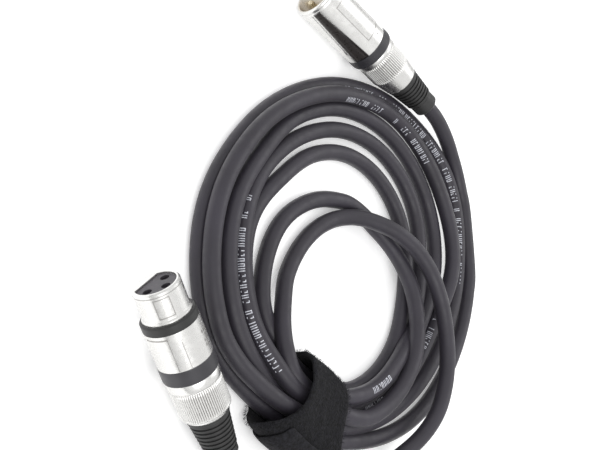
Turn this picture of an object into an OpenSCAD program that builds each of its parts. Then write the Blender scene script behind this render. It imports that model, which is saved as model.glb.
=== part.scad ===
// A microphone cable wound into a flat coil, tied with a hook-and-loop strap.
// One end carries a female three-pin connector with a push latch, the other a male one.
// Everything lies on the plane z = 0. Lengths are millimetres, angles are degrees.

/* [Cable] */
// Outer diameter of the cable's jacket
cable_d = 6.4; // [5.8:0.1:6.8]
// Height of the stack of turns
coil_h = 12; // [11:0.5:13]
// Sides of the swept cable tubes
tube_sides = 10; // [8:1:12]

/* [Connectors] */
// Outer diameter of both connector bodies
body_d = 19; // [18.8:0.1:19.4]
// Outer diameter of the female connector's nose
nose_d = 16; // [15.8:0.1:16.1]
// Inner diameter of the male connector's shell
shell_bore_d = 16.4; // [16.3:0.1:16.8]
// Diameter of a contact pin
pin_d = 2.4; // [2.3:0.05:2.5]
// Diameter of the circle that the three contacts stand on
contact_circle_d = 8.6; // [8.4:0.1:8.8]
// Length of the ribbed boot of the female connector
female_boot_l = 17.5; // [16.5:0.5:20]
// Length of the ribbed boot of the male connector
male_boot_l = 18.5; // [17:0.5:20]

/* [Latch] */
// Width of the latch lever
latch_w = 4.4; // [4:0.1:4.6]
// Diameter of the latch pivot pin
pivot_d = 1; // [0.8:0.1:1]

/* [Strap] */
// Width of the hook-and-loop strap
strap_w = 32; // [28:1:32]
// Thickness of the strap
strap_t = 2; // [1.6:0.1:2.2]
// Inside width of the strap's loop, across the turns
strap_in_w = 29; // [28:0.5:32]

/* [Hidden] */
$fn = 64;

cable_r = cable_d / 2;
body_r = body_d / 2;
nose_r = nose_d / 2;
gap = 0.1;
fit_gap = 0.05;
nut_gap = 0.4;
socket_d = 3.1;

// Centre of the coil, placed so that the whole object is centred on the origin.
coil_at = [16, -1.9, 0];

// Rear end of each connector's boot, measured from the coil's centre,
// and the direction that the connector points in: azimuth, then rise.
female_at = [-66.4, -78.7, 5.7];
female_az = 128.2;
female_rise = 10.8;
male_at = [40.8, 64.5, 11.3];
male_az = 155;
male_rise = -1.4;

// Stations along the female connector's axis, from the rear end of the boot.
f_nut_l = 16.5;
f_bush = female_boot_l;
f_ring = f_bush + f_nut_l;
f_sleeve = f_ring + 5.5;
f_seal = f_sleeve + 13.5;
f_nose = f_seal + 3.2;
f_face = f_nose + 11;

// Stations along the male connector's axis, from the rear end of the boot.
m_nut_l = 19.5;
m_bush = male_boot_l;
m_ring = m_bush + m_nut_l;
m_shell = m_ring + 4;
m_front = m_shell + 31;
m_insert_face = m_front - 14.5;

// The strap's centre and the direction in which the turns pass through it.
strap_at = [-29, -59, 0];
strap_az = -24;
strap_in_h = coil_h;
strap_base = strap_t;

// Centre lines of the cable where it isn't part of the coil, measured from the coil's
// centre: from the male connector's boot to the coil, and from the strap, in one last
// wide turn over the others, to the female connector's boot.
male_tail_route = [
    [40.8, 64.5, 11.3], [47.6, 61.2, 10.6], [54.4, 57.4, 8.9], [60.5, 53, 7],
    [65.7, 48, 5.2], [70, 42.3, 4], [73.5, 34.5, 3.3], [76, 25, 3.2], [77.4, 16, 3.2]
];
female_tail_route = [
    [-32.3, -56, 10.7], [-37, -52.2, 10.6], [-40.6, -44.6, 9.8], [-41.2, -35, 8.2],
    [-38.8, -24.5, 6], [-35, -14.5, 4], [-28, -4, 3.2], [-19, 4.5, 3.2], [-9, 9.8, 4],
    [1, 11.6, 6.6], [11, 10, 9.8], [20, 6.4, 12.8], [28.5, 0.6, 14.6], [36, -7.5, 15.4],
    [41.5, -18, 15.6], [44.5, -30, 15.6], [45, -42, 15.6], [42.5, -53.5, 15.6],
    [37.5, -63.5, 15.2], [30, -72.5, 13], [20, -80.5, 9], [8, -87.5, 5.6],
    [-6, -93, 3.8], [-21, -96.3, 3.2], [-35, -96.8, 3.2], [-44.5, -95.4, 3.2],
    [-53.3, -91.4, 3.3], [-60.6, -85.4, 4.2], [-66.4, -78.7, 5.7]
];

// Outermost and innermost centre lines of the main turns: distance from the
// coil's centre, every 30 degrees from +X towards +Y.
outer_reach = [78.1, 75.2, 70.4, 66, 63.9, 67, 75.6, 81.5, 77.3, 74.2, 74.8, 75.3];
inner_reach = [34.4, 34.8, 35.6, 36.9, 39, 43.2, 54.2, 57, 58, 54.8, 46.4, 37.8];

// Centre line of the small inner turn: [angle, distance from the coil's centre, height].
inner_turn = [
    [225, 56.6, 4.2], [210, 53.6, 3.2], [180, 40.7, 3.2], [150, 27.9, 3.2],
    [120, 20.3, 3.2], [90, 17.4, 3.2], [60, 16.5, 3.2], [30, 18.5, 3.6], [0, 24.5, 6.5],
    [-30, 36.6, 10]
];

module at_coil() {
    translate(coil_at) children();
}

// Puts a piece, drawn along +Z from the boot's rear end, on a connector's axis.
module on_female() {
    at_coil() translate(female_at) rotate([0, 90 - female_rise, female_az]) children();
}

module on_male() {
    at_coil() translate(male_at) rotate([0, 90 - male_rise, male_az]) children();
}

module on_strap() {
    at_coil() translate(strap_at) rotate([0, 0, strap_az]) children();
}

// ---------- swept tubes ----------

function spline(a, b, c, d, t) =
    0.5 * ((2 * b) + (c - a) * t + (2 * a - 5 * b + 4 * c - d) * t * t
        + (3 * b - a - 3 * c + d) * t * t * t);

function unit(v) = v / norm(v);

function heading(route, i) =
    unit(route[min(i + 1, len(route) - 1)] - route[max(i - 1, 0)]);

function ring(centre, dir, r, sides) =
    let (across = unit(cross(dir, [0, 0, 1])), up = cross(across, dir))
    [for (k = [0:sides - 1])
        centre + r * (cos(360 * k / sides) * across + sin(360 * k / sides) * up)];

module tube(route, r, sides) {
    rings = len(route);
    points = [for (i = [0:rings - 1]) each ring(route[i], heading(route, i), r, sides)];
    walls = [for (i = [0:rings - 2], k = [0:sides - 1])
        let (a = i * sides + k, b = i * sides + (k + 1) % sides)
        each [[a, a + sides, b], [b, a + sides, b + sides]]];
    first_cap = [for (k = [1:sides - 2]) [0, k, k + 1]];
    last = (rings - 1) * sides;
    last_cap = [for (k = [1:sides - 2]) [last, last + k + 1, last + k]];
    polyhedron(points, concat(walls, first_cap, last_cap), convexity = 6);
}

// ---------- cord ----------

function closed_reach(list, angle) =
    let (n = len(list), s = angle / 360 * n, i = floor(s), t = s - i)
    spline(list[(i + n - 1) % n], list[i % n], list[(i + 1) % n], list[(i + 2) % n], t);

function outline(list, grow) =
    [for (a = [0:6:354]) (closed_reach(list, a) + grow) * [cos(a), sin(a)]];

module strap_inside(extra) {
    on_strap()
        translate([-strap_w / 2 - extra, -strap_in_w / 2, strap_base])
            cube([strap_w + 2 * extra, strap_in_w, strap_in_h]);
}

module strap_block() {
    on_strap()
        translate([-strap_w / 2, -strap_in_w / 2 - 6, -1])
            cube([strap_w, strap_in_w + 12, strap_in_h + 6]);
}

module cable_coil() color([0.24, 0.24, 0.26]) {
    difference() {
        at_coil()
            linear_extrude(coil_h)
                difference() {
                    polygon(outline(outer_reach, cable_r));
                    polygon(outline(inner_reach, -cable_r));
                }
        strap_block();
        on_male() cylinder(h = m_shell, r = body_r + nut_gap);
    }
    strap_inside(0);
}

function turn_point(s) = [s[1] * cos(s[0]), s[1] * sin(s[0]), s[2]];

// The stations of a turn with two more between each pair, as points.
function smooth_turn(turn) =
    let (last = len(turn) - 1)
    [for (i = [0:last - 1], t = [0:1 / 3:0.9])
        turn_point(spline(turn[max(i - 1, 0)], turn[i], turn[i + 1], turn[min(i + 2, last)], t)),
        turn_point(turn[last])];

module inner_loop() color([0.24, 0.24, 0.26])
    at_coil() tube(smooth_turn(inner_turn), cable_r, tube_sides);

module male_tail() color([0.24, 0.24, 0.26])
    at_coil() tube(male_tail_route, cable_r, tube_sides);

module female_tail() color([0.24, 0.24, 0.26])
    at_coil() tube(female_tail_route, cable_r, tube_sides);

module rounded_bar(w, h, r) {
    for (x = [r - w / 2, w / 2 - r], y = [r, h - r])
        translate([x, y]) circle(r);
    translate([-w / 2 + r, 0]) square([w - 2 * r, h]);
    translate([-w / 2, r]) square([w, h - 2 * r]);
}

module tie_strap() color([0.1, 0.1, 0.11])
    on_strap()
        rotate([90, 0, 90])
            translate([0, 0, -strap_w / 2])
                linear_extrude(strap_w)
                    difference() {
                        rounded_bar(strap_in_w + 2 * strap_t, strap_in_h + 2 * strap_t, 5);
                        translate([-strap_in_w / 2, strap_t])
                            square([strap_in_w, strap_in_h]);
                    }

// ---------- shared connector pieces ----------

// A smooth rubber tail, then a stack of ribs that widens to the front radius.
module ribbed_boot(length, rear_r, front_r, ribs, tail) {
    pitch = (length - tail - 1) / ribs;
    rotate_extrude()
        polygon(concat(
            [[cable_r + fit_gap, 0], [rear_r - 0.8, 0], [rear_r, 0.9], [rear_r, tail]],
            [for (i = [0:ribs - 1]) let (
                    z = tail + i * pitch,
                    r = rear_r + (front_r - rear_r) * z / length)
                each [[r - 0.7, z + 0.1], [r - 0.7, z + pitch * 0.35],
                    [r, z + pitch * 0.5], [r, z + pitch * 0.95]]],
            [[front_r, length - 0.8], [front_r, length], [cable_r + fit_gap, length]]));
}

// The back nut: a lip, a groove, a knurled band and a cone down to the boot.
module back_nut(length, rear_r, front_r, knurl_from, knurl_to, teeth) {
    difference() {
        rotate_extrude()
            polygon([
                [6.1, 0], [rear_r, 0], [rear_r + 0.35, 1],
                [front_r - 0.35, knurl_from - 0.4], [front_r - 0.3, knurl_to],
                [front_r - 0.55, knurl_to + 0.3], [front_r - 0.55, knurl_to + 0.9],
                [front_r, knurl_to + 1.2], [front_r, length],
                [7.6, length], [7.6, 5], [6.1, 3.5]]);
        for (k = [0:teeth - 1])
            rotate([0, 0, 360 * k / teeth])
                translate([front_r - 0.05, 0, knurl_from])
                    rotate([0, 0, 45])
                        cube([0.5, 0.5, knurl_to - knurl_from - 0.4]);
    }
}

// A split collet that grips the jacket.
module collet(length) {
    difference() {
        rotate_extrude()
            polygon([
                [cable_r + fit_gap, 0], [5.4, 0], [7.3, length * 0.4],
                [7.3, length], [cable_r + fit_gap, length]]);
        for (a = [0:90:270])
            rotate([0, 0, a]) translate([0, -0.4, length * 0.35])
                cube([9, 0.8, length]);
    }
}

module coding_band(length) {
    rotate_extrude()
        polygon([
            [7.7, 0], [body_r, 0], [body_r + 0.1, 0.3],
            [body_r + 0.1, length - 0.3], [body_r, length], [7.7, length]]);
}

// Angles of the three contacts around the axis: 1 and 2 face each other.
function contact_angle(n) = n == 1 ? 0 : n == 2 ? 180 : 90;

module at_contact(n, turn) {
    rotate([0, 0, contact_angle(n) + turn])
        translate([contact_circle_d / 2, 0, 0]) children();
}

// A short insulated wire from the jacket's end to a solder cup.
module lead_wire(start, finish, r) {
    route = [for (i = [0:5])
        let (t = i / 5, s = t * t * (3 - 2 * t))
        [start[0] + (finish[0] - start[0]) * s, start[1] + (finish[1] - start[1]) * s,
            start[2] + (finish[2] - start[2]) * t]];
    axial_tube(route, r, 8);
}

function flat_ring(centre, r, sides) =
    [for (k = [0:sides - 1])
        centre + r * [cos(360 * k / sides), sin(360 * k / sides), 0]];

module axial_tube(route, r, sides) {
    rings = len(route);
    points = [for (p = route) each flat_ring(p, r, sides)];
    walls = [for (i = [0:rings - 2], k = [0:sides - 1])
        let (a = i * sides + k, b = i * sides + (k + 1) % sides)
        each [[a, a + sides, b], [b, a + sides, b + sides]]];
    last = (rings - 1) * sides;
    first_cap = [for (k = [1:sides - 2]) [0, k, k + 1]];
    last_cap = [for (k = [1:sides - 2]) [last, last + k + 1, last + k]];
    polyhedron(points, concat(walls, first_cap, last_cap), convexity = 4);
}

// ---------- female connector ----------

// The latch is on the side that faces down. The insert has a flat under the lever.
flat_at = 4.2;
insert_r = 6.9;
lever_low = 5.6;
lever_high = 7.2;
slot_w = latch_w + 0.3;
pad_w = 6.4;
pivot_z = f_sleeve + 1.8;
pivot_x = 6.4;
f_insert_back = f_seal - 6;
wire_room_r = 5.8;

module d_shape(r, flat) {
    difference() {
        circle(r);
        translate([flat, -r]) square(2 * r);
    }
}

module female_housing() color([0.86, 0.86, 0.84]) on_female() {
    difference() {
        union() {
            translate([0, 0, f_sleeve]) cylinder(h = f_seal - f_sleeve, r = body_r);
            translate([0, 0, f_seal]) cylinder(h = f_nose - f_seal, r = nose_r - 0.4);
            rotate_extrude()
                polygon([
                    [0, f_nose], [nose_r + 0.5, f_nose], [nose_r + 0.5, f_nose + 0.6],
                    [nose_r, f_nose + 1.2], [nose_r, f_face - 0.5],
                    [nose_r - 0.5, f_face], [0, f_face]]);
            translate([0, 0, f_ring + 0.1])
                cylinder(h = 5.4, r = 7.6);
        }
        translate([0, 0, f_insert_back])
            linear_extrude(f_face - f_insert_back + 1)
                d_shape(insert_r + fit_gap, flat_at);
        translate([flat_at - 0.5, -slot_w / 2, f_sleeve + 0.4])
            cube([body_r, slot_w, f_face - 1.6 - f_sleeve]);
        translate([lever_low - 0.1, -pad_w / 2 - 0.15, f_sleeve + 4])
            cube([body_r, pad_w + 0.3, 8.3]);
        translate([pivot_x, -5, pivot_z])
            rotate([-90, 0, 0]) cylinder(h = 10, d = pivot_d);
        translate([0, 0, f_ring - 1])
            cylinder(h = f_insert_back - f_ring + 1.01, r = wire_room_r);
    }
}

module female_seal_ring() color([0.06, 0.06, 0.06]) on_female()
    rotate_extrude()
        polygon([
            [nose_r - 0.4, f_seal], [body_r - 0.1, f_seal], [body_r, f_seal + 0.3],
            [body_r, f_nose - 0.5], [body_r - 0.4, f_nose], [nose_r - 0.4, f_nose]]);

module female_insert() color([0.05, 0.05, 0.05]) on_female()
    difference() {
        translate([0, 0, f_insert_back])
            linear_extrude(f_face - 0.6 - f_insert_back) d_shape(insert_r, flat_at - gap);
        for (n = [1:3])
            at_contact(n, 90) translate([0, 0, f_insert_back - 1]) cylinder(h = 40, d = socket_d);
    }

module female_contact(n) color([0.8, 0.66, 0.35]) on_female()
    at_contact(n, 90)
        difference() {
            union() {
                translate([0, 0, f_insert_back - 4]) cylinder(h = 4.2, d = 2.6);
                translate([0, 0, f_insert_back + 0.2]) cylinder(h = 16, d = socket_d);
            }
            translate([0, 0, f_insert_back - 4.1]) cylinder(h = 3, d = 1.8);
            translate([0, 0, f_insert_back + 2]) cylinder(h = 20, d = pin_d + 0.1);
        }

module female_contact_1() female_contact(1);
module female_contact_2() female_contact(2);
module female_contact_3() female_contact(3);

module female_latch() color([0.8, 0.8, 0.78]) on_female()
    difference() {
        union() {
            translate([lever_low, -latch_w / 2, f_sleeve + 0.6])
                cube([lever_high - lever_low, latch_w, f_face - 3 - f_sleeve]);
            translate([lever_low + 0.6, -pad_w / 2, f_sleeve + 4.2])
                cube([body_r + 0.5 - lever_low - 0.6, pad_w, 7.9]);
            translate([0, -latch_w / 2, 0])
                rotate([-90, 0, 0])
                    linear_extrude(latch_w)
                        polygon([
                            [lever_high - 0.1, -f_face + 7.4], [nose_r + 0.75, -f_face + 6.6],
                            [nose_r + 0.75, -f_face + 5], [lever_high - 0.1, -f_face + 2.6]]);
        }
        translate([pivot_x, -5, pivot_z])
            rotate([-90, 0, 0]) cylinder(h = 10, d = pivot_d + 2 * fit_gap);
    }

module female_latch_pin() color([0.6, 0.6, 0.6]) on_female()
    translate([pivot_x, -5, pivot_z])
        rotate([-90, 0, 0]) cylinder(h = 10, d = pivot_d);

module female_latch_spring() color([0.55, 0.55, 0.55]) on_female()
    translate([0, -1.5, f_sleeve + 7])
        rotate([-90, 0, 0])
            linear_extrude(3)
                polygon([
                    [flat_at, 0], [flat_at + 0.25, 0], [lever_low - 0.05, -3.2],
                    [lever_low - 0.05, -3.5], [lever_low - 0.3, -3.5], [flat_at, -0.25]]);

module female_coding_ring() color([0.2, 0.2, 0.21]) on_female()
    translate([0, 0, f_ring]) coding_band(5.5);

module female_chuck() color([0.75, 0.75, 0.72]) on_female()
    translate([0, 0, f_bush + 3.6]) collet(10);

module female_bushing() color([0.86, 0.86, 0.84]) on_female()
    translate([0, 0, f_bush]) back_nut(f_nut_l, 7.9, 9.3, 2.2, 12.3, 60);

module female_boot() color([0.12, 0.12, 0.12]) on_female()
    ribbed_boot(female_boot_l, 5.5, 7.6, 8, 3);

module female_jacket_end() color([0.24, 0.24, 0.26]) on_female()
    cylinder(h = f_bush + 16, r = cable_r);

module female_core(n) {
    on_female()
        rotate([0, 0, contact_angle(n) + 90])
            lead_wire([1.3, 0, f_bush + 16], [contact_circle_d / 2, 0, f_insert_back - 4], 0.75);
}

module female_core_hot() color([0.75, 0.1, 0.1]) female_core(2);
module female_core_cold() color([0.9, 0.9, 0.88]) female_core(3);
module female_drain_wire() color([0.8, 0.6, 0.4]) female_core(1);

// ---------- male connector ----------

shell_wall_r = shell_bore_d / 2;
groove_turn = 104;
groove_w = 3.2;

module male_shell() color([0.86, 0.86, 0.84]) on_male() {
    difference() {
        union() {
            rotate_extrude()
                polygon([
                    [0, m_shell], [body_r, m_shell], [body_r, m_front - 0.6],
                    [body_r - 0.6, m_front], [0, m_front]]);
            translate([0, 0, m_ring + 0.1]) cylinder(h = 4, r = 7.6);
        }
        translate([0, 0, m_insert_face - 12])
            cylinder(h = m_front - m_insert_face + 13, r = shell_wall_r);
        translate([0, 0, m_ring - 1]) cylinder(h = 30, r = 6.6);
        rotate([0, 0, groove_turn])
            translate([6, -groove_w / 2, m_shell + 1.2])
                cube([6, groove_w, m_front - m_shell - 3.4]);
        rotate([0, 0, groove_turn + 180])
            translate([7, -2.6, m_front - 9])
                cube([4, 5.2, 4.4]);
    }
}

module male_insert() color([0.05, 0.05, 0.05]) on_male()
    difference() {
        union() {
            translate([0, 0, m_insert_face - 8])
                cylinder(h = 8, r = shell_wall_r - fit_gap);
            rotate([0, 0, groove_turn]) {
                translate([6.6, gap - groove_w / 2, m_shell + 1.3])
                    cube([2.2, groove_w - 2 * gap, m_insert_face - m_shell - 1.3]);
                translate([shell_wall_r + fit_gap, gap - groove_w / 2, m_shell + 1.3])
                    cube([0.55, groove_w - 2 * gap, m_front - m_shell - 3.6]);
            }
        }
        for (n = [1:3])
            at_contact(n, 90 + groove_turn)
                translate([0, 0, m_insert_face - 12]) cylinder(h = 20, d = pin_d + 0.5);
    }

module male_pin(n) color([0.8, 0.66, 0.35]) on_male()
    at_contact(n, 90 + groove_turn)
        difference() {
            union() {
                translate([0, 0, m_insert_face - 12]) cylinder(h = 12, d = pin_d + 0.4);
                translate([0, 0, m_insert_face]) cylinder(h = 12, d = pin_d);
                translate([0, 0, m_insert_face + 12]) sphere(d = pin_d);
            }
            translate([0, 0, m_insert_face - 12.1]) cylinder(h = 3, d = 1.7);
        }

module male_pin_1() male_pin(1);
module male_pin_2() male_pin(2);
module male_pin_3() male_pin(3);

module male_coding_ring() color([0.2, 0.2, 0.21]) on_male()
    translate([0, 0, m_ring]) coding_band(4);

module male_chuck() color([0.75, 0.75, 0.72]) on_male()
    translate([0, 0, m_bush + 3.6]) collet(12);

module male_bushing() color([0.86, 0.86, 0.84]) on_male()
    translate([0, 0, m_bush]) back_nut(m_nut_l, 7.5, 9.1, 8.2, 16.6, 60);

module male_boot() color([0.12, 0.12, 0.12]) on_male()
    ribbed_boot(male_boot_l, 5.2, 7.2, 7, 5.5);

module male_jacket_end() color([0.24, 0.24, 0.26]) on_male()
    cylinder(h = m_bush + 19, r = cable_r);

module male_core(n) {
    on_male()
        rotate([0, 0, contact_angle(n) + 90 + groove_turn])
            lead_wire([1.3, 0, m_bush + 19], [contact_circle_d / 2, 0, m_insert_face - 12], 0.75);
}

module male_core_hot() color([0.75, 0.1, 0.1]) male_core(2);
module male_core_cold() color([0.9, 0.9, 0.88]) male_core(3);
module male_drain_wire() color([0.8, 0.6, 0.4]) male_core(1);

cable_coil();
inner_loop();
male_tail();
female_tail();
tie_strap();
female_housing();
female_seal_ring();
female_insert();
female_contact_1();
female_contact_2();
female_contact_3();
female_latch();
female_latch_pin();
female_latch_spring();
female_coding_ring();
female_chuck();
female_bushing();
female_boot();
female_jacket_end();
female_core_hot();
female_core_cold();
female_drain_wire();
male_shell();
male_insert();
male_pin_1();
male_pin_2();
male_pin_3();
male_coding_ring();
male_chuck();
male_bushing();
male_boot();
male_jacket_end();
male_core_hot();
male_core_cold();
male_drain_wire();
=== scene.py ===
"""The looks of a coiled microphone cable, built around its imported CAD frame. Lengths are metres."""
import bisect
import math
import random

import bmesh
import bpy
from mathutils import Matrix, Vector, noise


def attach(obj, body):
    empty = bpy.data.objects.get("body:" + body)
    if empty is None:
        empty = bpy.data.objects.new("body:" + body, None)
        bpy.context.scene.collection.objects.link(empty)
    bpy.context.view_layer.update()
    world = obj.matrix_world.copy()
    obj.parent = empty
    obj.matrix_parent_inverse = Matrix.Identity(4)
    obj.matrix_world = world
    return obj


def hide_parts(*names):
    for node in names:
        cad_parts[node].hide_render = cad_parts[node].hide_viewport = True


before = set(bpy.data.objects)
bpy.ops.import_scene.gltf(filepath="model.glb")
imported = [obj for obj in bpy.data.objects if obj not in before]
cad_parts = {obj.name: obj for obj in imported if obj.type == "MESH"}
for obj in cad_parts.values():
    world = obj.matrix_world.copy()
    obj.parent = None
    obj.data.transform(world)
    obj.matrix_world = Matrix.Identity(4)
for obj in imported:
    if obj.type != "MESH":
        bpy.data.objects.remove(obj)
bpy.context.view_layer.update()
MM = 0.001
BODY = "cable"
random.seed(7)

# ---------- places that the CAD part shares ----------

COIL_AT = Vector((16.0, -1.9, 0.0)) * MM
CABLE_R = 3.2 * MM
FEMALE_AT, FEMALE_AZ, FEMALE_RISE = Vector((-66.4, -78.7, 5.7)), 128.2, 10.8
MALE_AT, MALE_AZ, MALE_RISE = Vector((40.8, 64.5, 11.3)), 155.0, -1.4
STRAP_AT, STRAP_AZ = Vector((-29.0, -59.0, 0.0)), -24.0

# The cable's route, millimetres from the coil's centre: out of the male boot to the coil.
MALE_TAIL = [
    (40.8, 64.5, 11.3), (47.6, 61.2, 10.6), (54.4, 57.4, 8.9), (60.5, 53, 7),
    (65.7, 48, 5.2), (70, 42.3, 4), (73.5, 34.5, 3.3), (76, 25, 3.2), (77.4, 16, 3.2),
]
# From inside the strap, over the other turns, to the female boot.
FEMALE_TAIL = [
    (-37, -52.2, 10.6), (-40.6, -44.6, 9.8), (-41.2, -35, 8.2),
    (-38.8, -24.5, 6), (-35, -14.5, 4), (-28, -4, 3.2), (-19, 4.5, 3.2), (-9, 9.8, 4),
    (1, 11.6, 6.6), (11, 10, 9.8), (20, 6.4, 12.8), (28.5, 0.6, 14.6), (36, -7.5, 15.4),
    (41.5, -18, 15.6), (44.5, -30, 15.6), (45, -42, 15.6), (42.5, -53.5, 15.6),
    (37.5, -63.5, 15.2), (30, -72.5, 13), (20, -80.5, 9), (8, -87.5, 5.6),
    (-6, -93, 3.8), (-21, -96.3, 3.2), (-35, -96.8, 3.2), (-44.5, -95.4, 3.2),
    (-53.3, -91.4, 3.3), (-60.6, -85.4, 4.2), (-66.4, -78.7, 5.7),
]
# The centre line's height where the cable lies on the table.
LOWEST = 3.2
# The first part turn: angle, distance from the coil's centre, height of the centre line.
LEAD_IN = [(0, 78.1, 3.2), (-30, 75.3, 3.2), (-60, 74.8, 3.2), (-90, 74.2, 3.6), (-105, 75.6, 4.4)]
# Six whole turns from the strap round to the strap: distances at each of these angles.
TURN_ANGLES = [240, 225, 210, 180, 150, 120, 90, 60, 30, 0, -30, -60, -90, -105]
TURN_REACH = [
    [77.3, 79.6, 81.5, 75.6, 67.0, 63.7, 65.6, 70.5, 75.2, 70.2, 66.0, 66.0, 68.6, 70.6],
    [74.1, 77.9, 81.2, 75.1, 66.2, 60.6, 60.4, 63.2, 61.5, 59.6, 57.0, 59.5, 63.0, 66.8],
    [70.9, 71.8, 72.8, 66.8, 57.4, 54.9, 55.5, 56.6, 56.2, 54.0, 50.8, 53.0, 59.6, 64.4],
    [67.7, 66.9, 65.9, 59.6, 51.3, 47.3, 46.6, 46.9, 46.2, 43.6, 45.3, 47.0, 56.4, 60.5],
    [63.4, 62.4, 60.3, 54.2, 43.2, 39.0, 36.9, 35.6, 34.8, 34.4, 37.8, 46.4, 54.8, 56.4],
    [58.0, 56.6, 53.6, 40.7, 27.9, 20.3, 17.4, 16.5, 18.5, 24.5, 36.6, 52.0, 65.6, 65.6],
]
# Heights of the same turns: 3.2 lies on the table, the others ride on the turns below.
TURN_HEIGHT = [
    [5.2, 4.0, 3.4, 3.2, 3.2, 3.2, 3.2, 3.2, 3.2, 3.2, 3.2, 3.2, 4.6, 7.4],
    [10.7, 10.2, 9.6, 9.6, 9.6, 8.8, 7.2, 6.0, 7.4, 8.6, 4.0, 3.4, 3.2, 3.9],
    [5.2, 6.6, 8.4, 8.6, 6.2, 3.2, 3.2, 3.2, 3.2, 3.2, 3.2, 3.2, 5.6, 7.6],
    [10.7, 10.1, 8.7, 7.0, 3.2, 3.2, 3.2, 3.2, 3.2, 3.2, 3.2, 9.0, 10.6, 9.8],
    [5.2, 3.9, 3.2, 3.2, 3.2, 3.2, 3.2, 3.2, 3.2, 3.2, 3.2, 3.2, 3.2, 4.0],
    [5.2, 4.2, 3.2, 3.2, 3.2, 3.2, 3.2, 3.2, 3.6, 6.5, 10.0, 12.4, 11.8, 11.6],
]
# Where the last turn leaves the strap for the female tail: angle, distance, height.
LAST_PASS = (-2280, 64.6, 10.7)


def connector_axes(at, azimuth, rise):
    """A connector's frame: origin at its boot's rear end, X down, Z towards its front."""
    a, r = math.radians(azimuth), math.radians(rise)
    x = Vector((math.sin(r) * math.cos(a), math.sin(r) * math.sin(a), -math.cos(r)))
    y = Vector((-math.sin(a), math.cos(a), 0))
    z = Vector((math.cos(r) * math.cos(a), math.cos(r) * math.sin(a), math.sin(r)))
    turn = Matrix((x, y, z)).transposed().to_4x4()
    return Matrix.Translation(COIL_AT + at * MM) @ turn


FEMALE = connector_axes(FEMALE_AT, FEMALE_AZ, FEMALE_RISE)
MALE = connector_axes(MALE_AT, MALE_AZ, MALE_RISE)


# ---------- material helpers ----------

# The part of a noise pattern's range that colours and roughness follow.
NOISE_LOW, NOISE_HIGH = 0.3, 0.7


class Shader:
    """A node material that starts as one Principled shader."""

    def __init__(self, name, colour, roughness, metallic=0.0):
        self.material = bpy.data.materials.new(name)
        self.material.use_nodes = True
        self.tree = self.material.node_tree
        self.base = self.tree.nodes["Principled BSDF"]
        self.base.inputs["Base Color"].default_value = (*colour, 1)
        self.base.inputs["Roughness"].default_value = roughness
        self.base.inputs["Metallic"].default_value = metallic
        self.normal = None

    def node(self, kind, **values):
        """A new node; each value is for the input of that name, or else for the node itself."""
        made = self.tree.nodes.new(kind)
        for key, value in values.items():
            if key in made.inputs:
                made.inputs[key].default_value = value
            else:
                setattr(made, key, value)
        return made

    def link(self, out, into):
        self.tree.links.new(out, into)

    def place(self, stretch=(1, 1, 1), kind="Object"):
        coords = self.node("ShaderNodeTexCoord")
        mapping = self.node("ShaderNodeMapping")
        mapping.inputs["Scale"].default_value = stretch
        self.link(coords.outputs[kind], mapping.inputs["Vector"])
        return mapping.outputs["Vector"]

    def noise(self, scale, detail=4, stretch=(1, 1, 1), kind="Object"):
        made = self.node("ShaderNodeTexNoise", Scale=scale, Detail=detail)
        self.link(self.place(stretch, kind), made.inputs["Vector"])
        return made.outputs["Fac"]

    def vary(self, factor, low, high, into):
        made = self.node("ShaderNodeMapRange")
        made.inputs["From Min"].default_value = NOISE_LOW
        made.inputs["From Max"].default_value = NOISE_HIGH
        made.inputs["To Min"].default_value = low
        made.inputs["To Max"].default_value = high
        self.link(factor, made.inputs["Value"])
        self.link(made.outputs["Result"], self.base.inputs[into])

    def tint(self, factor, dark, light):
        ramp = self.node("ShaderNodeValToRGB")
        stops = zip(ramp.color_ramp.elements, (NOISE_LOW, NOISE_HIGH), (dark, light))
        for stop, place, colour in stops:
            stop.position = place
            stop.color = (*colour, 1)
        self.link(factor, ramp.inputs["Fac"])
        self.link(ramp.outputs["Color"], self.base.inputs["Base Color"])

    def bump(self, factor, strength, distance):
        """Adds a bump on top of any earlier one."""
        made = self.node("ShaderNodeBump", Strength=strength, Distance=distance)
        self.link(factor, made.inputs["Height"])
        if self.normal is not None:
            self.link(self.normal, made.inputs["Normal"])
        self.normal = made.outputs["Normal"]
        self.link(self.normal, self.base.inputs["Normal"])

    def round_edges(self, radius):
        made = self.node("ShaderNodeBevel", Radius=radius, samples=6)
        self.normal = made.outputs["Normal"]
        self.link(self.normal, self.base.inputs["Normal"])


def jacket_material():
    s = Shader("jacket", (0.026, 0.0245, 0.029), 0.45)
    s.tint(s.noise(45, 5), (0.023, 0.0205, 0.027), (0.033, 0.0295, 0.040))
    s.vary(s.noise(300, 6), 0.38, 0.55, "Roughness")
    s.bump(s.noise(2600, 3), 0.10, 0.0002)
    s.bump(s.noise(1, 4, (900, 60, 1), "UV"), 0.10, 0.0002)
    s.base.inputs["Specular IOR Level"].default_value = 0.4
    s.base.inputs["Sheen Weight"].default_value = 0.05
    s.base.inputs["Sheen Roughness"].default_value = 0.5
    return s.material


def nickel_material(name):
    s = Shader(name, (0.72, 0.71, 0.69), 0.3, 1.0)
    s.round_edges(0.00018)
    s.tint(s.noise(90, 4), (0.69, 0.685, 0.67), (0.75, 0.745, 0.73))
    s.vary(s.noise(700, 5), 0.20, 0.34, "Roughness")
    s.bump(s.noise(5000, 2), 0.06, 0.0001)
    return s.material


# A darker copy of the nickel: painted shade for the dark lines, marks and knurl notch bottoms on the
# connectors.
def painted_shade_metal_material():
    s = Shader("nickel_painted_shade", (0.36, 0.35, 0.34), 0.35, 1.0)
    s.tint(s.noise(300, 4), (0.30, 0.29, 0.28), (0.42, 0.41, 0.40))
    s.vary(s.noise(900, 4), 0.3, 0.45, "Roughness")
    return s.material


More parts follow.
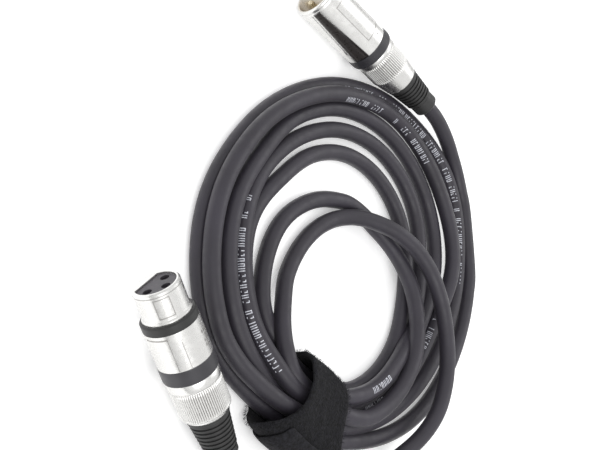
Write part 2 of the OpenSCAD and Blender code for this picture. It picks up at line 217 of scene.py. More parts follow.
def rubber_material(name, shade, rough):
    s = Shader(name, (shade, shade, shade * 1.05), rough)
    s.round_edges(0.00012)
    s.tint(s.noise(120, 5), (shade * 0.8,) * 3, (shade * 1.25,) * 3)
    s.vary(s.noise(500, 4), rough - 0.07, rough + 0.07, "Roughness")
    s.bump(s.noise(3500, 3), 0.12, 0.0002)
    return s.material


def plastic_material(name, colour, rough):
    s = Shader(name, colour, rough)
    s.round_edges(0.0001)
    s.tint(s.noise(150, 4), [c * 0.85 for c in colour], [min(1, c * 1.1) for c in colour])
    s.vary(s.noise(800, 4), rough - 0.06, rough + 0.06, "Roughness")
    s.bump(s.noise(6000, 2), 0.08, 0.0001)
    return s.material


def metal_material(name, colour, rough):
    s = Shader(name, colour, rough, 1.0)
    s.tint(s.noise(200, 4), [c * 0.9 for c in colour], [min(1, c * 1.05) for c in colour])
    s.vary(s.noise(900, 4), rough - 0.05, rough + 0.08, "Roughness")
    s.bump(s.noise(7000, 2), 0.05, 0.0001)
    return s.material


def fabric_material(name, shade, fuzz):
    s = Shader(name, (shade, shade, shade), 0.95)
    s.tint(s.noise(900, 6), (shade * 0.5,) * 3, (shade * 1.9, shade * 1.85, shade * 2.3))
    s.bump(s.noise(1400, 5), fuzz, 0.0008)
    s.bump(s.noise(5000, 2), 0.4, 0.0003)
    s.base.inputs["Sheen Weight"].default_value = 0.05
    s.base.inputs["Sheen Roughness"].default_value = 0.6
    s.base.inputs["Specular IOR Level"].default_value = 0.1
    return s.material


def ink_material():
    s = Shader("print_ink", (0.62, 0.63, 0.70), 0.6)
    s.tint(s.noise(1500, 3), (0.36, 0.37, 0.43), (0.74, 0.75, 0.80))
    return s.material


JACKET = jacket_material()
NICKEL = nickel_material("nickel")
STRAP_CLOTH = fabric_material("hook_and_loop", 0.007, 0.7)
FLAP_CLOTH = fabric_material("strap_flap", 0.010, 0.25)
FIBRE = plastic_material("strap_fibre", (0.012, 0.012, 0.018), 0.8)
INK = ink_material()

NODE_MATERIALS = {
    "housing shell bushing": NICKEL,
    "seal_ring": rubber_material("seal_rubber", 0.012, 0.45),
    "insert": plastic_material("insert_plastic", (0.055, 0.05, 0.06), 0.5),
    "contact pin_1 pin_2 pin_3": metal_material("contact_metal", (0.66, 0.58, 0.42), 0.25),
    "latch": nickel_material("latch_metal"),
    "latch_pin latch_spring": metal_material("spring_steel", (0.55, 0.55, 0.55), 0.3),
    "coding_ring": plastic_material("ring_plastic", (0.030, 0.029, 0.034), 0.4),
    "chuck": plastic_material("chuck_plastic", (0.6, 0.6, 0.57), 0.5),
    "boot": rubber_material("boot_rubber", 0.016, 0.5),
    "jacket_end": rubber_material("jacket_end_rubber", 0.022, 0.5),
    "core_hot": plastic_material("core_red", (0.55, 0.03, 0.03), 0.35),
    "core_cold": plastic_material("core_white", (0.8, 0.8, 0.78), 0.35),
    "drain_wire": metal_material("drain_copper", (0.72, 0.45, 0.3), 0.35),
}


def finish_cad_nodes():
    """Gives each CAD node that stays in view the material of the longest part name in its own."""
    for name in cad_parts:
        made = bpy.data.objects.get(name)
        if made is None:
            continue
        words = [w for key in NODE_MATERIALS for w in key.split() if w in name]
        if not words:
            continue
        word = max(words, key=len)
        key = next(k for k in NODE_MATERIALS if word in k.split())
        made.data.materials.clear()
        made.data.materials.append(NODE_MATERIALS[key])


finish_cad_nodes()


# ---------- the cable ----------

def slope(stations, i, width):
    """The change per step at a station, scaled to the width of the segment beside it."""
    before, after = stations[max(i - 1, 0)], stations[min(i + 1, len(stations) - 1)]
    run = before[0] - after[0]
    return [(b - a) * width / run for a, b in zip(before, after)]


TURN_STEP = 7.5


def coil_points():
    """The centre line of all the turns, about every TURN_STEP degrees between their stations."""
    stations = list(LEAD_IN)
    for turn, (reaches, heights) in enumerate(zip(TURN_REACH, TURN_HEIGHT), start=1):
        for angle, reach, height in zip(TURN_ANGLES, reaches, heights):
            stations.append((angle - 360 * turn, reach, height))
    stations.append(LAST_PASS)
    points = []
    for i in range(len(stations) - 1):
        here, there = stations[i], stations[i + 1]
        width = here[0] - there[0]
        out, into = slope(stations, i, width), slope(stations, i + 1, width)
        count = round(width / TURN_STEP)
        for k in range(count):
            t = k / count
            weights = (2 * t**3 - 3 * t * t + 1, t**3 - 2 * t * t + t, 3 * t * t - 2 * t**3, t**3 - t * t)
            reach, height = (
                sum(w * v[j] for w, v in zip(weights, (here, out, there, into))) for j in (1, 2)
            )
            angle = math.radians(here[0] - width * t)
            points.append((reach * math.cos(angle), reach * math.sin(angle), max(height, LOWEST)))
    return points


def smooth_line(points, step):
    """Catmull-Rom through the points, sampled about every step."""
    line = []
    for i in range(len(points) - 1):
        a, b = points[max(i - 1, 0)], points[i]
        c, d = points[i + 1], points[min(i + 2, len(points) - 1)]
        count = max(2, round((c - b).length / step))
        for k in range(count):
            t = k / count
            line.append(
                0.5 * (2 * b + (c - a) * t + (2 * a - 5 * b + 4 * c - d) * t * t
                       + (3 * b - a - 3 * c + d) * t**3)
            )
    line.append(points[-1])
    return line


INSIDE_BOOT = 6 * MM
LINE_STEP = 1.6 * MM
CABLE_SIDES = 28


def cable_line():
    """The whole centre line in metres, with a short stretch inside each boot."""
    route = MALE_TAIL[:-1] + coil_points() + FEMALE_TAIL
    points = [COIL_AT + Vector(p) * MM for p in route]
    points.insert(0, MALE @ Vector((0, 0, INSIDE_BOOT)))
    points.append(FEMALE @ Vector((0, 0, INSIDE_BOOT)))
    return smooth_line(points, LINE_STEP)


def distances(line):
    """How far along a line each of its points is."""
    along = [0.0]
    for a, b in zip(line, line[1:]):
        along.append(along[-1] + (b - a).length)
    return along


def side_frames(line):
    """For each point of a line: the point, the sideways axis and the upward axis."""
    found = []
    for i, p in enumerate(line):
        ahead = (line[min(i + 1, len(line) - 1)] - line[max(i - 1, 0)]).normalized()
        side = ahead.cross(Vector((0, 0, 1))).normalized()
        found.append((p, side, side.cross(ahead)))
    return found


def new_object(name, mesh, *materials):
    """Puts a mesh and its materials into the scene."""
    made = bpy.data.objects.new(name, mesh)
    bpy.context.scene.collection.objects.link(made)
    for m in materials:
        mesh.materials.append(m)
    return made


def from_bmesh(name, bm, *materials, smooth=True):
    """Turns a finished bmesh into an object."""
    bmesh.ops.recalc_face_normals(bm, faces=bm.faces)
    mesh = bpy.data.meshes.new(name)
    bm.to_mesh(mesh)
    bm.free()
    for polygon in mesh.polygons:
        polygon.use_smooth = smooth
    return new_object(name, mesh, *materials)


def tube_object(name, line, radius, sides, material):
    """A closed tube round a line, with UVs in metres along it and turns around it."""
    bm = bmesh.new()
    uv = bm.loops.layers.uv.new("jacket")
    rings = []
    along = distances(line)
    for p, side, up in side_frames(line):
        rings.append([
            bm.verts.new(p + radius * (side * math.cos(t) + up * math.sin(t)))
            for t in (2 * math.pi * k / sides for k in range(sides))
        ])
    for i in range(len(rings) - 1):
        for k in range(sides):
            n = (k + 1) % sides
            face = bm.faces.new((rings[i][k], rings[i + 1][k], rings[i + 1][n], rings[i][n]))
            for loop, place in zip(face.loops, ((i, k), (i + 1, k), (i + 1, k + 1), (i, k + 1))):
                loop[uv].uv = (along[place[0]], place[1] / sides)
    bm.faces.new(rings[0])
    bm.faces.new(rings[-1])
    return from_bmesh(name, bm, material)


LINE = cable_line()
cable = tube_object("microphone_cable", LINE, CABLE_R, CABLE_SIDES, JACKET)
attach(cable, BODY)
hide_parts("cable_coil", "inner_loop", "male_tail", "female_tail")


# ---------- the hook-and-loop strap ----------

STRAP_FRAME = Matrix.Translation(COIL_AT + STRAP_AT * MM) @ Matrix.Rotation(math.radians(STRAP_AZ), 4, "Z")
STRAP_T = 1.6 * MM
# Where each edge of the strap lies along the turns, at its inner, top, outer and lower side.
MOUTH_EDGE = (-10.5, -8.0, -21.5, -19.0)
TAIL_EDGE = (12.0, 16.0, 27.0, 20.0)
# Half widths at the mouth, the middle and the tail, towards the coil's inside and outside.
STRAP_IN = (15.4, 16.0, 14.8)
STRAP_OUT = (18.6, 21.0, 18.5)
STRAP_MID_Y, STRAP_MID_Z, STRAP_HALF_H, MOUTH_FLARE = -1.9, 7.8, 7.4, 1.6
# How much the widened mouth is lifted, and how near to the table the cloth comes.
MOUTH_LIFT, CLOTH_LOWEST = 0.95, 0.15
# The section's corners: 1 would give an ellipse, and less gives a squarer outline.
SECTION_POWER = 0.8
# How much less thick the cloth is at its edge and one step in from it, on each face.
EDGE_PINCH, NEXT_PINCH = 0.35, 0.1
# The size and depth of the creases along the strap, across it and upwards.
CREASE_X, CREASE_Y, CREASE_Z = (4 * MM, 0.5 * MM), (6 * MM, 0.35 * MM), (5 * MM, 0.4 * MM)
FLAP_LIFT, FLAP_T = 1.5 * MM, 1.3 * MM
FIBRE_COUNT, RIM_SHARE, FIBRE_W = 5000, 0.15, 0.05 * MM
FIBRE_SHORT, FIBRE_LONG = 0.5, 1.1


def quarter_blend(values, turn):
    """Blends smoothly through four values, a quarter of a turn apart."""
    quarter = (turn * 4) % 4
    i, t = int(quarter), quarter % 1
    t = t * t * (3 - 2 * t)
    return values[i] + (values[(i + 1) % 4] - values[i]) * t


def through(values, u):
    """The parabola through three values at u = 0, 0.5 and 1."""
    a, b, c = values
    return a * (1 - u) * (1 - 2 * u) + 4 * b * u * (1 - u) + c * u * (2 * u - 1)


def strap_point(u, turn, inset=0.0):
    """A point of the strap: u from its mouth to its tail, turn once round it, inset in metres."""
    c, s = math.cos(2 * math.pi * turn), math.sin(2 * math.pi * turn)
    flare = MOUTH_FLARE * (1 - u) ** 2
    half_w = through(STRAP_IN if c > 0 else STRAP_OUT, u) - inset / MM
    half_h = STRAP_HALF_H + flare - inset / MM
    x = quarter_blend(MOUTH_EDGE, turn) * (1 - u) + quarter_blend(TAIL_EDGE, turn) * u
    y = STRAP_MID_Y + half_w * math.copysign(abs(c) ** SECTION_POWER, c)
    z = STRAP_MID_Z + MOUTH_LIFT * flare + half_h * math.copysign(abs(s) ** SECTION_POWER, s)
    return Vector((x, y, max(z, CLOTH_LOWEST + inset / MM))) * MM


def crumple(point, size, depth):
    """A small random push that changes smoothly from point to point."""
    return depth * noise.fractal(point / size, 0.8, 2.0, 4)


def strap_sheet(name, u_range, turn_range, steps, lift, thickness, material, closed=False):
    """A strip of the strap with its thickness, crumpled, and rounded at its edges."""
    bm = bmesh.new()
    nu, nt = steps
    layers = []
    for inset in (-lift, thickness - lift):
        grid = []
        for i in range(nu + 1):
            u = u_range[0] + (u_range[1] - u_range[0]) * i / nu
            row = []
            for k in range(nt if closed else nt + 1):
                turn = turn_range[0] + (turn_range[1] - turn_range[0]) * k / nt
                edge = min(i, nu - i)
                side = edge if closed else min(edge, k, nt - k)
                pinch = (EDGE_PINCH if side == 0 else NEXT_PINCH if side == 1 else 0) * thickness
                pinch = pinch if inset == -lift else -pinch
                p = strap_point(u, turn, inset + pinch)
                p.y += crumple(p, *CREASE_Y)
                p.z += abs(crumple(p, *CREASE_Z)) * (1 if p.z > 1 * MM else 0)
                p.x += crumple(p + Vector((1, 0, 0)), *CREASE_X)
                row.append(bm.verts.new(STRAP_FRAME @ p))
            grid.append(row)
        layers.append(grid)
    outer, inner = layers
    count = len(outer[0])
    spans = count if closed else count - 1
    for i in range(nu):
        for k in range(spans):
            n = (k + 1) % count
            bm.faces.new((outer[i][k], outer[i + 1][k], outer[i + 1][n], outer[i][n]))
            bm.faces.new((inner[i][k], inner[i][n], inner[i + 1][n], inner[i + 1][k]))
    for i in (0, nu):
        for k in range(spans):
            n = (k + 1) % count
            bm.faces.new((outer[i][k], outer[i][n], inner[i][n], inner[i][k]))
    if not closed:
        for k in (0, count - 1):
            for i in range(nu):
                bm.faces.new((outer[i][k], inner[i][k], inner[i + 1][k], outer[i + 1][k]))
    made = from_bmesh(name, bm, material)
    smooth = made.modifiers.new("smooth", "SUBSURF")
    smooth.levels = smooth.render_levels = 1
    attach(made, BODY)
    return made


def strap_fibres():
    """Short fibres of the loop side, standing off the strap's surface and its rim."""
    bm = bmesh.new()
    for _ in range(FIBRE_COUNT):
        u, turn = random.random(), random.random()
        if random.random() < RIM_SHARE:
            u = random.choice((0.0, 1.0))
        base = STRAP_FRAME @ strap_point(u, turn)
        out = (STRAP_FRAME @ strap_point(u, turn, -1 * MM) - base).normalized()
        lean = Vector((random.gauss(0, 1), random.gauss(0, 1), random.gauss(0, 0.6)))
        tip = base + (out + 0.8 * lean).normalized() * random.uniform(FIBRE_SHORT, FIBRE_LONG) * MM
        side = lean.cross(out).normalized() * FIBRE_W
        if tip.z < 0.2 * MM:
            continue
        foot = base - out * 0.5 * MM
        bend = base.lerp(tip, 0.6) + lean * 0.08 * MM
        corners = (foot - side, foot + side, bend + side, bend - side, tip)
        a, b, c, d, e = (bm.verts.new(p) for p in corners)
        bm.faces.new((a, b, c, d))
        bm.faces.new((d, c, e))
    made = from_bmesh("strap_fibres", bm, FIBRE, smooth=False)
    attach(made, BODY)
    return made


strap = strap_sheet("tie_strap_cloth", (0, 1), (0, 1), (26, 96), 0, STRAP_T, STRAP_CLOTH, closed=True)
flap = strap_sheet("strap_flap", (0.12, 0.86), (0.36, 0.6), (18, 20), FLAP_LIFT, FLAP_T, FLAP_CLOTH)
fibres = strap_fibres()
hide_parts("tie_strap")


# ---------- printed marks ----------

ALONG = distances(LINE)
LINE_FRAMES = side_frames(LINE)
INK_LIFT = 0.03 * MM
# Half a mark's height as an angle round the cable, a bar's width and a dash's height as an angle.
MARK_HALF, BAR_W, DASH_H = 0.38, 0.34 * MM, 0.1
# From one bar of a mark to the other, and how far along its dashes reach.
BAR_STEP, TOP_DASH, LOW_DASH = 0.8 * MM, 0.9 * MM, 0.8 * MM
# Each stretch of print: name, turn, angles, place round the cable in degrees, share of gaps.
PRINTS = [
    ("print_outer_far", 1, (100, 62), 52, 0.25),
    ("print_outer", 1, (61, -6), 50, 0.12),
    ("print_second", 2, (98, 42), 36, 0.15),
    ("print_left", 4, (228, 166), 137, 0.12),
    ("print_right", 2, (-20, -40), 50, 0.15),
    ("print_low", 2, (-62, -88), 78, 0.15),
    ("print_low_inner", 4, (-76, -88), 85, 0.15),
]


def along_at(turn, angle):
    """The distance along the cable at which a whole turn (1 to 6) passes an angle."""
    i = next(k for k, low in enumerate(TURN_ANGLES[1:]) if low <= angle)
    t = (TURN_ANGLES[i] - angle) / (TURN_ANGLES[i] - TURN_ANGLES[i + 1])
    reach, height = (
        values[i] + (values[i + 1] - values[i]) * t
        for values in (TURN_REACH[turn - 1], TURN_HEIGHT[turn - 1])
    )
    a = math.radians(angle)
    target = COIL_AT + Vector((reach * math.cos(a), reach * math.sin(a), height)) * MM
    nearest = min(range(len(LINE)), key=lambda k: (LINE[k] - target).length)
    return ALONG[nearest]


def jacket_point(distance, around):
    """A point just outside the jacket: around is 0 towards the coil's inside, 90 degrees at the top."""
    after = bisect.bisect_left(ALONG, distance)
    before = after - 1
    t = (distance - ALONG[before]) / (ALONG[after] - ALONG[before])
    (p, side, up), (q, next_side, next_up) = LINE_FRAMES[before], LINE_FRAMES[after]
    out = side.lerp(next_side, t) * math.cos(around) + up.lerp(next_up, t) * math.sin(around)
    return p.lerp(q, t) + out.normalized() * (CABLE_R + INK_LIFT)


def stroke(bm, start, end, low, high):
    """One printed bar: a small curved patch on the jacket."""
    parts = 3
    rows = []
    for k in range(parts + 1):
        around = low + (high - low) * k / parts
        rows.append([bm.verts.new(jacket_point(d, around)) for d in (start, end)])
    for (a, b), (c, d) in zip(rows, rows[1:]):
        bm.faces.new((a, b, d, c))


def printed_marks(name, turn, angles, around, gap_share):
    """Plain bars and dashes along a stretch of one turn, as faint print that says nothing."""
    start, end = along_at(turn, angles[0]), along_at(turn, angles[1])
    bm = bmesh.new()
    middle = math.radians(around)
    low, high = middle - MARK_HALF, middle + MARK_HALF
    at = start
    while at < end:
        if random.random() < gap_share:
            at += random.uniform(1.5, 3.0) * MM
            continue
        kind = random.random()
        stroke(bm, at, at + BAR_W, low, high if kind < 0.6 else middle)
        if kind < 0.45:
            stroke(bm, at + BAR_STEP, at + BAR_STEP + BAR_W, low, high)
        if kind > 0.5:
            stroke(bm, at + BAR_W, at + TOP_DASH, high - DASH_H, high)
        if kind > 0.75 or kind < 0.2:
            stroke(bm, at + BAR_W, at + LOW_DASH, low, low + DASH_H)
        at += random.uniform(1.6, 1.9) * MM
    marks = from_bmesh(name, bm, INK, smooth=False)
    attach(marks, BODY)


for stretch in PRINTS:
    printed_marks(*stretch)


# ---------- connector details ----------

# Millimetres: radii, and where each piece starts along its connector's axis from the boot's rear end.
BODY_R, NOSE_R = 9.5, 8.0
F_BUSH, F_SLEEVE, F_SEAL, F_NOSE, F_FACE = 17.5, 39.5, 53.0, 56.2, 67.2
M_BUSH, M_RING, M_SHELL, M_FRONT = 18.5, 38.0, 42.0, 73.0
M_INSERT = M_FRONT - 14.5
# Inside a back nut: its thread's radius, the cone behind it and the hole for the boot's neck.
NUT_THREAD_R, NUT_THREAD_END, NUT_CONE_END, NUT_HOLE_R = 7.6, 5, 3.5, 6.1
# Inside the male shell: the mouth's radius, and the narrower room behind the insert.
MOUTH_R, MOUTH_DEEP, ROOM_R = 8.2, M_INSERT - 8, 6.6
NOTCH_DEPTH, NOTCH_SHARE, TOOTH_STEPS = 0.5, 0.55, 8
# The male shell's groove: its middle, its half widths at the mouth and at the ring, and its depth.
GROOVE_TURN, GROOVE_AT_MOUTH, GROOVE_AT_RING, GROOVE_DEPTH = 104 / 360, 1.4, 3.3, 0.5
# The line beside the groove: how far off it starts and ends, and its depth.
LINE_START, LINE_END, LINE_DEPTH = 0.0105, 0.0165, 0.16
# The shell's outline is finer near the groove, to this part of a turn on each side.
FINE_REACH, FINE_STEP, FINE_COUNT, COARSE_COUNT = 0.067, 0.0011, 120, 100
RIDGES = 56
# Painted shade: darker metal for the lines, marks and notches painted on the connectors.
PAINTED_SHADE_METAL = painted_shade_metal_material()
# Near black for the groove's floor: painted shade in the shallow groove.
GROOVE_PAINTED_SHADE = plastic_material("groove_painted_shade", (0.03, 0.026, 0.025), 0.3)
# A darker, warmer copy of the nickel for the inside of the shell: painted shade and a painted brownish
# reflection in the mouth.
BORE_PAINTED_SHADE = metal_material("bore_painted_shade", (0.62, 0.58, 0.52), 0.2)


def on_axis(axes, station, radius, turn):
    """A point beside a connector's axis; station and radius are in millimetres."""
    a = 2 * math.pi * turn
    return axes @ (Vector((radius * math.cos(a), radius * math.sin(a), station)) * MM)


def lathed(name, axes, profile, turns, change, materials, pick):
    """A closed ring of revolution; change moves a radius, and pick chooses each face's material."""
    bm = bmesh.new()
    rings = []
    for station, radius, outside in profile:
        rings.append([
            bm.verts.new(on_axis(axes, station, change(t, station, radius) if outside else radius, t))
            for t in turns
        ])
    for i, ring in enumerate(rings):
        following = rings[(i + 1) % len(rings)]
        for k in range(len(turns)):
            n = (k + 1) % len(turns)
            face = bm.faces.new((ring[k], ring[n], following[n], following[k]))
            middle = (turns[k] + (turns[n] if n else 1.0)) / 2
            station, _, outside = profile[i]
            face.material_index = pick(middle, station, outside)
    made = from_bmesh(name, bm, *materials)
    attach(made, BODY)
    return made


def steps(start, end, count, start_r, end_r):
    """Stations along a straight stretch of an outer profile."""
    parts = [k / count for k in range(count + 1)]
    return [(start + (end - start) * t, start_r + (end_r - start_r) * t, True) for t in parts]


def knurled_nut(name, node, axes, back, length, radii, knurl, teeth):
    """A back nut: a rear cone, a band of knurls, a groove and a lip in front; the bottoms of the knurl
    notches are painted darker as painted shade.
    """
    rear_r, front_r = radii
    first, last = knurl
    top = front_r - 0.25
    profile = [(0.0, rear_r - 0.5, True), (0.15, rear_r - 0.15, True), (0.5, rear_r, True)]
    profile += steps(0.9, first - 0.3, 5, rear_r + 0.05, top - 0.1)
    profile += steps(first, last, 10, top, top)
    profile += [
        (last + 0.25, front_r - 0.6, True), (last + 0.8, front_r - 0.6, True),
        (last + 1.05, front_r - 0.05, True), (last + 1.3, front_r, True),
        (length - 0.35, front_r, True), (length - 0.1, front_r - 0.12, True),
        (length, front_r - 0.3, True),
        (length, NUT_THREAD_R, False), (NUT_THREAD_END, NUT_THREAD_R, False),
        (NUT_CONE_END, NUT_HOLE_R, False), (0, NUT_HOLE_R, False),
    ]
    profile = [(back + station, radius, outside) for station, radius, outside in profile]

    def in_band(station):
        return back + first - 0.1 <= station <= back + last + 0.1

    def wave(turn):
        """1 at the bottom of a notch, and 0 at the middle of a tooth."""
        return abs((turn * teeth) % 1 - 0.5) * 2

    def notch(turn, station, radius):
        if not in_band(station):
            return radius
        return radius - NOTCH_DEPTH * max(0.0, wave(turn) - (1 - NOTCH_SHARE)) / NOTCH_SHARE

    # The notch bottoms get the darker metal: painted shade in the knurls.
    def painted_notch_shade(turn, station, outside):
        return 1 if outside and in_band(station) and wave(turn) > 0.7 else 0

    turns = [k / (teeth * TOOTH_STEPS) for k in range(teeth * TOOTH_STEPS)]
    nut = lathed(name, axes, profile, turns, notch, [NICKEL, PAINTED_SHADE_METAL], painted_notch_shade)
    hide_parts(node)


def groove_half_width(station):
    """Half the groove's angle, as a part of a turn: narrow at the mouth, wider at the coding ring."""
    back = (M_FRONT - station) / (M_FRONT - M_SHELL)
    half = GROOVE_AT_MOUTH + (GROOVE_AT_RING - GROOVE_AT_MOUTH) * back
    return half / (2 * math.pi * BODY_R)


def groove_depth(turn, station, radius):
    """The male shell's radius with its long groove and a line beside it."""
    away = abs((turn - GROOVE_TURN + 0.5) % 1 - 0.5)
    half = groove_half_width(station)
    if station > M_FRONT - 2.6:
        return radius
    if away < half:
        return radius - GROOVE_DEPTH * min(1.0, (half - away) / half * 2.5)
    beside = (GROOVE_TURN - turn + 0.5) % 1 - 0.5 - half
    if LINE_START < beside < LINE_END and M_SHELL + 4 < station:
        return radius - LINE_DEPTH
    return radius


def groove_material(turn, station, outside):
    """0 for the nickel skin, 1 for the groove's floor, painted near black as painted shade, and 2 for the
    inside of the shell, painted in a darker, warmer metal as painted shade.
    """
    if not outside:
        return 2
    away = abs((turn - GROOVE_TURN + 0.5) % 1 - 0.5)
    if station < M_FRONT - 2.8 and away < groove_half_width(station) * 0.93:
        return 1
    return 0


def male_shell():
    """The male connector's outer shell, with its groove and its open mouth."""
    profile = [(M_SHELL, BODY_R - 0.15, True), (M_SHELL + 0.15, BODY_R, True)]
    profile += steps(M_SHELL + 0.45, M_FRONT - 2.9, 40, BODY_R, BODY_R)
    profile += [
        (M_FRONT - 2.5, BODY_R, True), (M_FRONT - 1.9, BODY_R, True), (M_FRONT - 1.75, BODY_R - 0.14, True),
        (M_FRONT - 1.5, BODY_R - 0.14, True), (M_FRONT - 1.35, BODY_R, True), (M_FRONT - 0.7, BODY_R, True),
        (M_FRONT - 0.3, BODY_R - 0.14, True), (M_FRONT - 0.05, BODY_R - 0.45, True),
        (M_FRONT, BODY_R - 0.7, False), (M_FRONT, MOUTH_R + 0.2, False), (M_FRONT - 0.3, MOUTH_R, False),
        (MOUTH_DEEP, MOUTH_R, False), (MOUTH_DEEP, ROOM_R, False), (M_SHELL, ROOM_R, False),
    ]
    fine = [GROOVE_TURN + (k - FINE_COUNT // 2) * FINE_STEP for k in range(FINE_COUNT)]
    coarse = [
        GROOVE_TURN + FINE_REACH + (1 - 2 * FINE_REACH) * k / COARSE_COUNT
        for k in range(COARSE_COUNT)
    ]
    shell = lathed(
        "male_shell_metal", MALE, profile, fine + coarse, groove_depth,
        [NICKEL, GROOVE_PAINTED_SHADE, BORE_PAINTED_SHADE], groove_material,
    )
    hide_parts("male_shell")


SUNK = 0.05


def skin_patch(bm, axes, radius, turns, stations, height, parts):
    """A thin raised patch on a cylinder, between two turns and two stations."""
    rows = []
    for k in range(parts + 1):
        turn = turns[0] + (turns[1] - turns[0]) * k / parts
        rows.append([
            bm.verts.new(on_axis(axes, station, r, turn))
            for station, r in (
                (stations[0], radius - SUNK), (stations[0], radius + height),
                (stations[1], radius + height), (stations[1], radius - SUNK),
            )
        ])
    for a, b in zip(rows, rows[1:]):
        for i in range(4):
            n = (i + 1) % 4
            bm.faces.new((a[i], b[i], b[n], a[n]))
    bm.faces.new(rows[0])
    bm.faces.new(rows[-1])


def details(name, material, axes, patches):
    """One object of thin raised patches: each a radius, turns, stations and a height."""
    bm = bmesh.new()
    for radius, turns, stations, height in patches:
        span = max(2, round(abs(turns[1] - turns[0]) * 90))
        skin_patch(bm, axes, radius, turns, stations, height, span)
    made = from_bmesh(name, bm, material, smooth=False)
    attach(made, BODY)


def window_frame(radius, turns, stations, line, height):
    """Four thin bars round a rectangle on a cylinder."""
    wide = line / (2 * math.pi * radius)
    (t0, t1), (s0, s1) = turns, stations
    return [
        (radius, (t0, t1), (s0, s0 + line), height), (radius, (t0, t1), (s1 - line, s1), height),
        (radius, (t0, t0 + wide), (s0 + line, s1 - line), height),
        (radius, (t1 - wide, t1), (s0 + line, s1 - line), height),
    ]


def female_details():
    """Dark lines and marks on the female connector's nose and body: painted shade at its window, the groove
    by its face, a step, its facets and small bumps.
    """
    nose = window_frame(NOSE_R, (0.33, 0.44), (F_NOSE + 2.0, F_FACE - 2.2), 0.3, 0.06)
    nose.append((NOSE_R, (0.10, 0.90), (F_FACE - 1.5, F_FACE - 1.25), 0.04))
    details("female_nose_painted_shade", PAINTED_SHADE_METAL, FEMALE, nose)
    sleeve = [
        (BODY_R, (0.20, 0.34), (F_SEAL - 1.6, F_SEAL - 1.2), 0.12),
        (BODY_R, (0.335, 0.339), (F_SLEEVE + 0.2, F_SEAL - 1.6), 0.03),
        (BODY_R, (0.405, 0.409), (F_SLEEVE + 0.2, F_SEAL - 3.5), 0.03),
    ]
    details("female_sleeve_painted_shade", PAINTED_SHADE_METAL, FEMALE, sleeve)
    marks = []
    for row in range(4):
        for column in range(4):
            if random.random() < 0.7:
                turn, station = 0.54 + 0.022 * column, F_SLEEVE + 3.5 + 1.6 * row
                marks.append((BODY_R, (turn, turn + 0.012), (station, station + 0.9), 0.06))
    details("female_sleeve_bump_shade", PAINTED_SHADE_METAL, FEMALE, marks)


def male_details():
    """Dark lines on the male shell, painted shade at its panel's edges and a notch, and the ridges of its
    coding ring.
    """
    across = (GROOVE_TURN + 0.12, GROOVE_TURN + 0.30)
    panel = window_frame(BODY_R, across, (M_SHELL + 5, M_FRONT - 6), 0.25, 0.05)
    panel.append((BODY_R, (GROOVE_TURN + 0.2, GROOVE_TURN + 0.212), (M_SHELL + 3.0, M_SHELL + 3.8), 0.06))
    details("male_shell_painted_shade", PAINTED_SHADE_METAL, MALE, panel)
    ridges = []
    for k in range(RIDGES):
        turn = k / RIDGES
        ridges.append((BODY_R + 0.1, (turn, turn + 0.004), (M_RING + 0.7, M_SHELL - 0.7), 0.07))
    details("male_coding_ridges", NODE_MATERIALS["coding_ring"], MALE, ridges)


knurled_nut("female_nut", "female_bushing", FEMALE, F_BUSH, 16.5, (7.9, 9.3), (2.0, 12.2), 72)
knurled_nut("male_nut", "male_bushing", MALE, M_BUSH, 19.5, (7.5, 9.1), (8.0, 16.6), 60)
male_shell()
female_details()
male_details()


# ---------- floor, light and camera ----------

FLOOR_HALF, FLOOR_BELOW, FLOOR_GLOW = 3, 0.2 * MM, 0.3
# The world's shade at the horizon and from this height of the sky up.
WORLD_PLACES, WORLD_SHADES, WORLD_STRENGTH = (0.0, 0.3), (0.42, 1.05), 0.95
CAMERA_FROM_COIL = Vector((-0.32926, -0.07911, 0.29648))
CAMERA_RIGHT = Vector((0.6967, 0, 0.7173)).normalized()
CAMERA_BACK = Vector((-0.7034, -0.1961, 0.6832)).normalized()
FOCAL_LENGTH, SENSOR_WIDTH = 69, 36


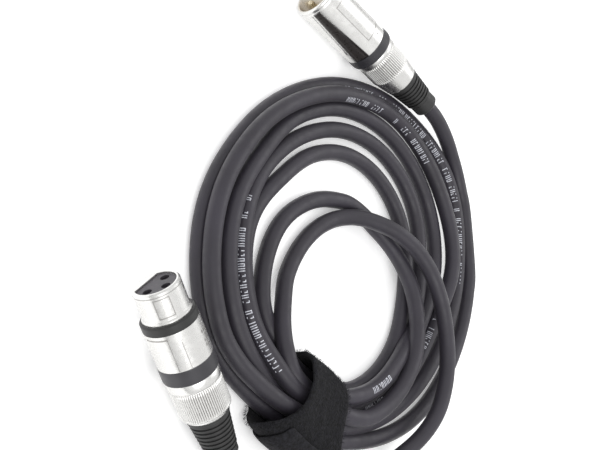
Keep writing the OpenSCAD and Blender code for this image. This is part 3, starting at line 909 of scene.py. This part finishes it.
def make_floor():
    """A plain floor that glows a little, so that shadows on it stay pale."""
    bm = bmesh.new()
    bmesh.ops.create_grid(bm, x_segments=1, y_segments=1, size=FLOOR_HALF)
    s = Shader("floor", (0.93, 0.93, 0.93), 0.7)
    s.base.inputs["Emission Color"].default_value = (1, 1, 1, 1)
    s.base.inputs["Emission Strength"].default_value = FLOOR_GLOW
    floor = from_bmesh("floor", bm, s.material)
    floor.location.z = -FLOOR_BELOW


def area_light(name, place, size, power):
    """A square lamp of a size in metres and a power in watts, aimed at the middle of the frame."""
    data = bpy.data.lights.new(name, "AREA")
    data.size = size
    data.energy = power
    light = bpy.data.objects.new(name, data)
    bpy.context.scene.collection.objects.link(light)
    light.location = place
    light.rotation_mode = "QUATERNION"
    light.rotation_quaternion = (-Vector(place)).to_track_quat("-Z", "Y")


def make_world():
    """A pale sky that is darker towards the horizon, for the metal to reflect."""
    world = bpy.data.worlds.new("studio")
    world.use_nodes = True
    tree = world.node_tree
    sky = tree.nodes["Background"]
    coords = tree.nodes.new("ShaderNodeTexCoord")
    split = tree.nodes.new("ShaderNodeSeparateXYZ")
    ramp = tree.nodes.new("ShaderNodeValToRGB")
    stops = ramp.color_ramp.elements
    for stop, place, shade in zip(stops, WORLD_PLACES, WORLD_SHADES):
        stop.position = place
        stop.color = (shade, shade, shade, 1)
    tree.links.new(coords.outputs["Generated"], split.inputs["Vector"])
    tree.links.new(split.outputs["Z"], ramp.inputs["Fac"])
    tree.links.new(ramp.outputs["Color"], sky.inputs["Color"])
    sky.inputs["Strength"].default_value = WORLD_STRENGTH
    bpy.context.scene.world = world


def make_camera():
    """The camera, above the coil and to one side of it."""
    data = bpy.data.cameras.new("camera")
    data.lens = FOCAL_LENGTH
    data.sensor_width = SENSOR_WIDTH
    data.clip_start = 0.01
    camera = bpy.data.objects.new("camera", data)
    bpy.context.scene.collection.objects.link(camera)
    camera.location = COIL_AT + CAMERA_FROM_COIL
    up = CAMERA_BACK.cross(CAMERA_RIGHT)
    camera.rotation_mode = "QUATERNION"
    camera.rotation_quaternion = Matrix((CAMERA_RIGHT, up, CAMERA_BACK)).transposed().to_quaternion()
    bpy.context.scene.camera = camera


make_floor()
make_world()
make_camera()
area_light("key", (-0.35, -0.5, 0.9), 0.7, 4)
area_light("fill", (0.7, 0.3, 0.7), 0.6, 1.5)
bpy.context.scene.view_settings.view_transform = "Standard"
